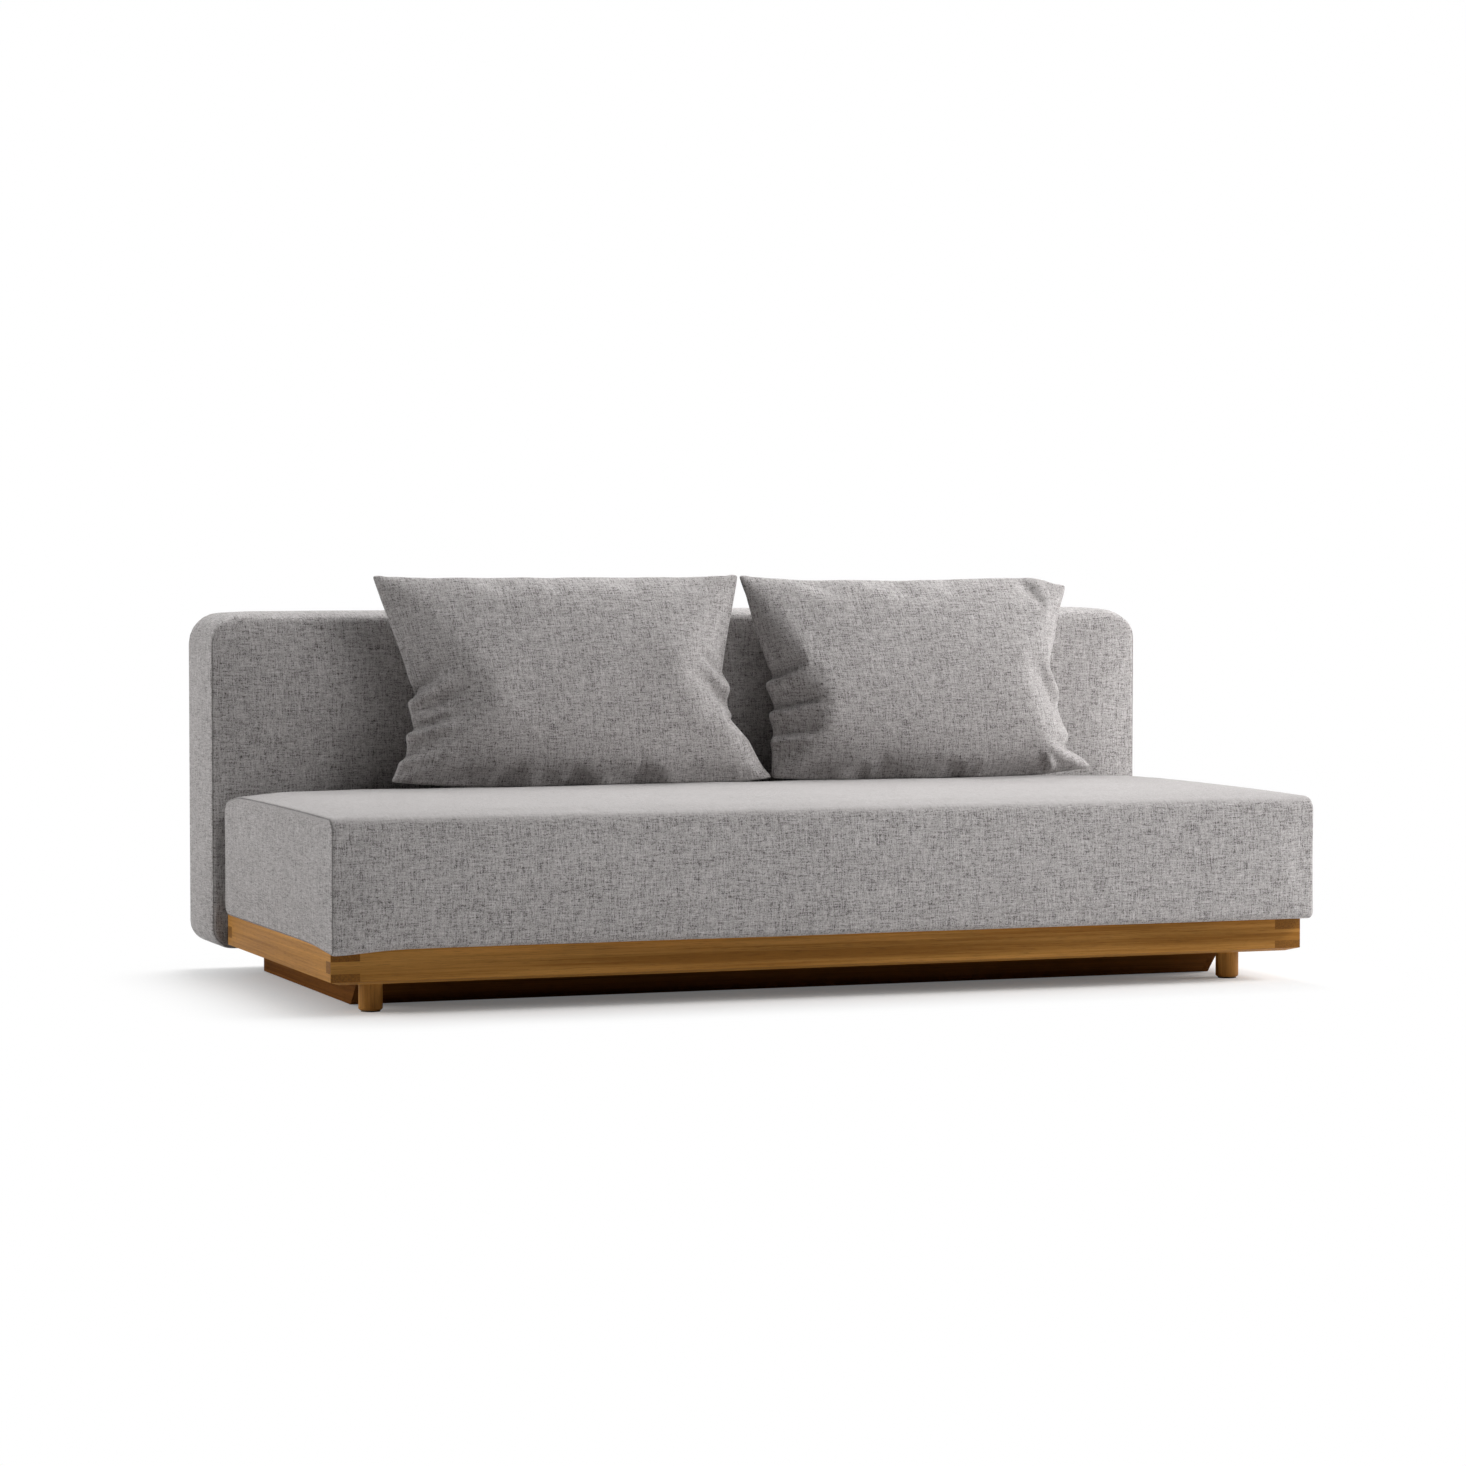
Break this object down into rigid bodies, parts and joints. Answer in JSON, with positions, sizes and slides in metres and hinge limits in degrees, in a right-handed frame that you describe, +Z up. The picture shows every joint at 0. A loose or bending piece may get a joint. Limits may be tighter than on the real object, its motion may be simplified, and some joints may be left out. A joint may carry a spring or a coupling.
{
  "type": "sofa bed",
  "caption": "Sofa bed: block seat on a box-jointed oak frame over a low tray, with a block back that lifts and folds flat and loose pillows.",
  "frame": {"origin": "on the floor at the middle of the sofa's overall width and depth", "axes": "+X along the sofa to the right seen from the front, +Y from the front to the back, +Z up"},
  "size_m": [2.016, 1.0721, 0.7788],
  "materials": {
    "oak": "oiled, fine lengthwise grain",
    "dark_board": "stained, satin",
    "plywood": "raw birch plywood",
    "softwood": "planed, unfinished",
    "beech": "lacquered, satin",
    "zinc_steel": "zinc-plated, satin",
    "black_steel": "powder-coated, fine texture",
    "nylon": "matte",
    "felt": "dense felt",
    "rubber": "matte",
    "upholstery": "woven melange upholstery, light warm grey with darker flecks",
    "backing_cloth": "thin dark non-woven dust cloth"
  },
  "bodies": {
    "base": {"tray_front_board": "dark_board", "tray_end_left": "dark_board", "tray_end_right": "dark_board", "tray_rear_board": "dark_board", "tray_bottom_panel": "plywood", "tray_corner_blocks": "softwood", "tray_glides": "nylon", "wheel_strip_left": "zinc_steel", "wheel_strip_right": "zinc_steel"},
    "seat": {"frame_front_board": "oak", "frame_rear_board": "oak", "frame_side_board_left": "oak", "frame_side_board_right": "oak", "leg_left": "oak", "leg_right": "oak", "leg_felt_left": "felt", "leg_felt_right": "felt", "corner_block_left": "softwood", "corner_block_right": "softwood", "leg_bolts": "zinc_steel", "slat_ledger_front": "softwood", "slat_ledger_rear": "softwood", "rear_bearer": "softwood", "centre_bearer": "softwood", "slats": "beech", "caster_fork_left": "zinc_steel", "caster_fork_right": "zinc_steel", "caster_axle_left": "zinc_steel", "caster_axle_right": "zinc_steel", "side_guide_left": "nylon", "side_guide_right": "nylon", "guide_channel_left": "zinc_steel", "guide_channel_right": "zinc_steel", "seat_board": "plywood", "seat_cushion": "upholstery"},
    "carriage": {"lift_carriage_left": "black_steel", "lift_carriage_right": "black_steel"},
    "back": {"back_cushion": "upholstery", "back_bottom_board": "plywood", "back_top_board": "plywood", "back_end_board_left": "plywood", "back_end_board_right": "plywood", "back_stiles": "softwood", "back_panel": "backing_cloth", "hinge_leaf_left": "black_steel", "hinge_leaf_right": "black_steel", "hinge_pin_left": "zinc_steel", "hinge_pin_right": "zinc_steel", "stand_saddle_left": "zinc_steel", "stand_saddle_right": "zinc_steel"},
    "stand": {"stand_tube": "black_steel", "stand_leg_left": "black_steel", "stand_leg_right": "black_steel", "stand_feet": "rubber"},
    "wheel_left": {"caster_wheel_left": "nylon"},
    "wheel_right": {"caster_wheel_right": "nylon"},
    "pillow_left": {"pillow_left": "upholstery"},
    "pillow_right": {"pillow_right": "upholstery"}
  },
  "joints": [
    {"name": "seat_pull", "type": "slide", "parent": "base", "child": "seat", "axis": [0, -1, 0], "range_m": [0, 0.45]},
    {"name": "back_lift", "type": "slide", "parent": "seat", "child": "carriage", "axis": [0, 0, 1], "range_m": [0, 0.266]},
    {"name": "back_fold", "type": "hinge", "parent": "carriage", "child": "back", "pos_m": [0, 0.33195, 0.077], "axis": [-1, 0, 0], "range_deg": [0, 90]},
    {"name": "stand_swing", "type": "hinge", "parent": "back", "child": "stand", "pos_m": [0, 0.5255, 0.62], "axis": [1, 0, 0], "range_deg": [0, 90]},
    {"name": "wheel_left_spin", "type": "hinge", "parent": "seat", "child": "wheel_left", "pos_m": [-0.7, 0.22395, 0.0328], "axis": [1, 0, 0], "range_deg": [0, 1290]},
    {"name": "wheel_right_spin", "type": "hinge", "parent": "seat", "child": "wheel_right", "pos_m": [0.7, 0.22395, 0.0328], "axis": [1, 0, 0], "range_deg": [0, 1290]},
    {"name": "pillow_left_lift", "type": "slide", "parent": "seat", "child": "pillow_left", "axis": [0, -0.5, 0.866], "range_m": [0, 0.35]},
    {"name": "pillow_right_lift", "type": "slide", "parent": "seat", "child": "pillow_right", "axis": [0, -0.5, 0.866], "range_m": [0, 0.35]}
  ],
  "couplings": [
    {"joint": "back_fold", "follows": "back_lift", "rad_per_m": 5.9034},
    {"joint": "stand_swing", "follows": "back_lift", "rad_per_m": 5.9034},
    {"joint": "wheel_left_spin", "follows": "seat_pull", "rad_per_m": 50},
    {"joint": "wheel_right_spin", "follows": "seat_pull", "rad_per_m": 50}
  ]
}
